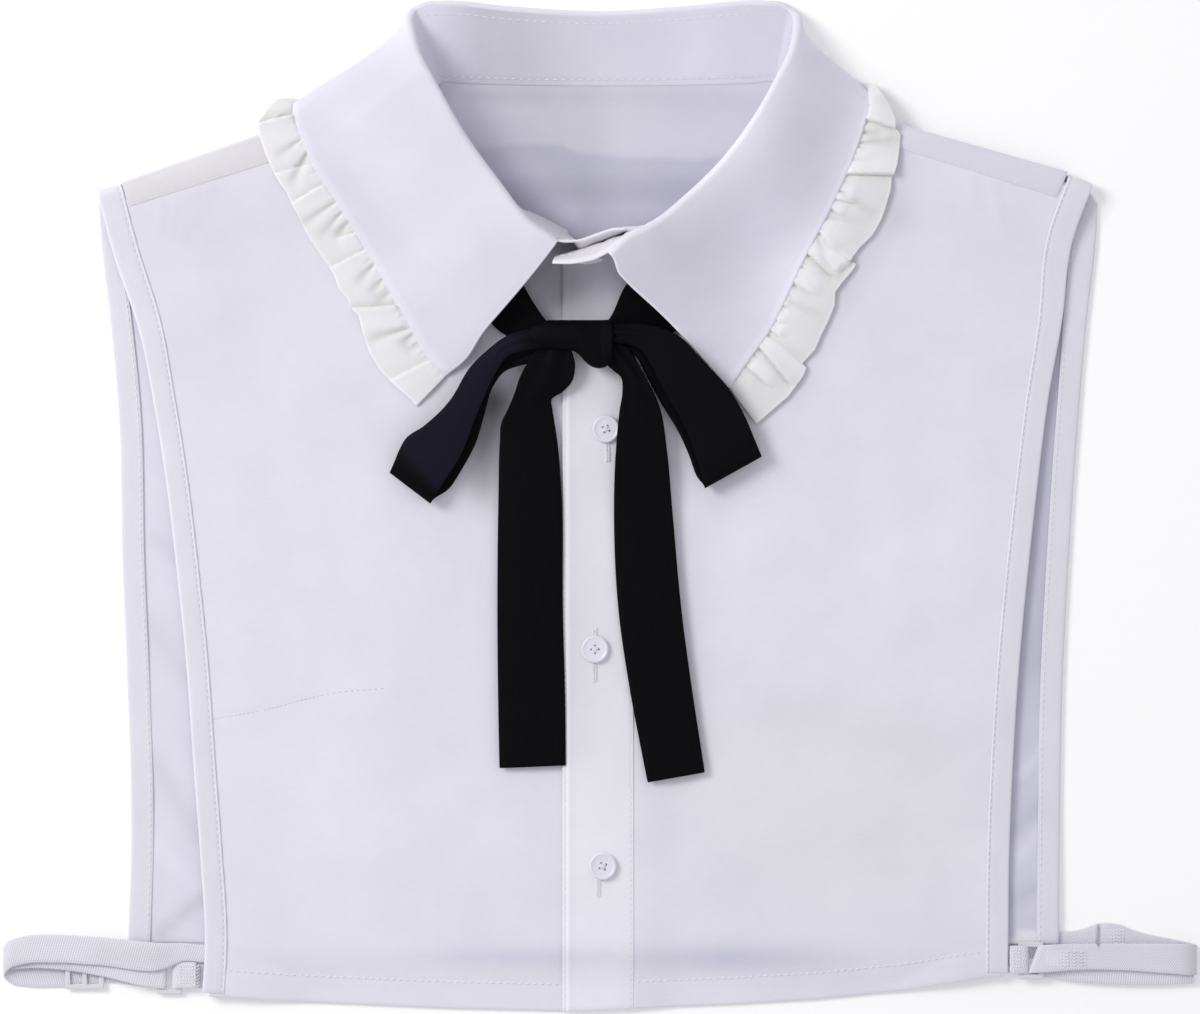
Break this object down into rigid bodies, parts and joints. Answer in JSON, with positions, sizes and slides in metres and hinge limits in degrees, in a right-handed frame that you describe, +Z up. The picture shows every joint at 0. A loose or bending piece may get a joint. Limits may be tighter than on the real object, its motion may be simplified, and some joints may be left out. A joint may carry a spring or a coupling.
{
  "type": "detachable shirt collar",
  "caption": "False shirt front and back with a pointed, pleat-edged collar, ribbon bow and elastic side straps, laid flat.",
  "frame": {"origin": "centre of the bounding box in plan, on the surface the garment lies on", "axes": "+X across the shoulders from the wearer's right to the wearer's left, +Y from the hem to the collar, +Z up out of the surface"},
  "size_m": [0.4543, 0.3842, 0.0342],
  "materials": {
    "white_shirting": "fine plain-weave shirting, white with a cool cast, matt",
    "ruffle_cloth": "fine plain-weave cloth, a little warmer white, matt",
    "black_ribbon": "black satin ribbon, soft low sheen",
    "elastic": "white ribbed elastic tape",
    "clear_plastic": "translucent clear button plastic, glossy"
  },
  "bodies": {
    "root": {"back_panel": "white_shirting", "front_left": "white_shirting", "front_right": "white_shirting", "placket": "white_shirting", "armhole_binding_left": "white_shirting", "armhole_binding_right": "white_shirting", "collar_stand": "white_shirting", "collar_fall": "white_shirting", "collar_ruffle": "ruffle_cloth", "ribbon_neck": "black_ribbon", "bow_loop_left": "black_ribbon", "bow_loop_right": "black_ribbon", "bow_knot": "black_ribbon", "bow_tail_left": "black_ribbon", "bow_tail_right": "black_ribbon", "button_top": "clear_plastic", "button_middle": "clear_plastic", "button_bottom": "clear_plastic", "button_stand": "clear_plastic", "strap_left": "elastic", "strap_right": "elastic", "strap_tab_left": "elastic", "strap_tab_right": "elastic", "ring_left": "clear_plastic", "ring_right": "clear_plastic", "slider_left": "clear_plastic"}
  },
  "joints": []
}
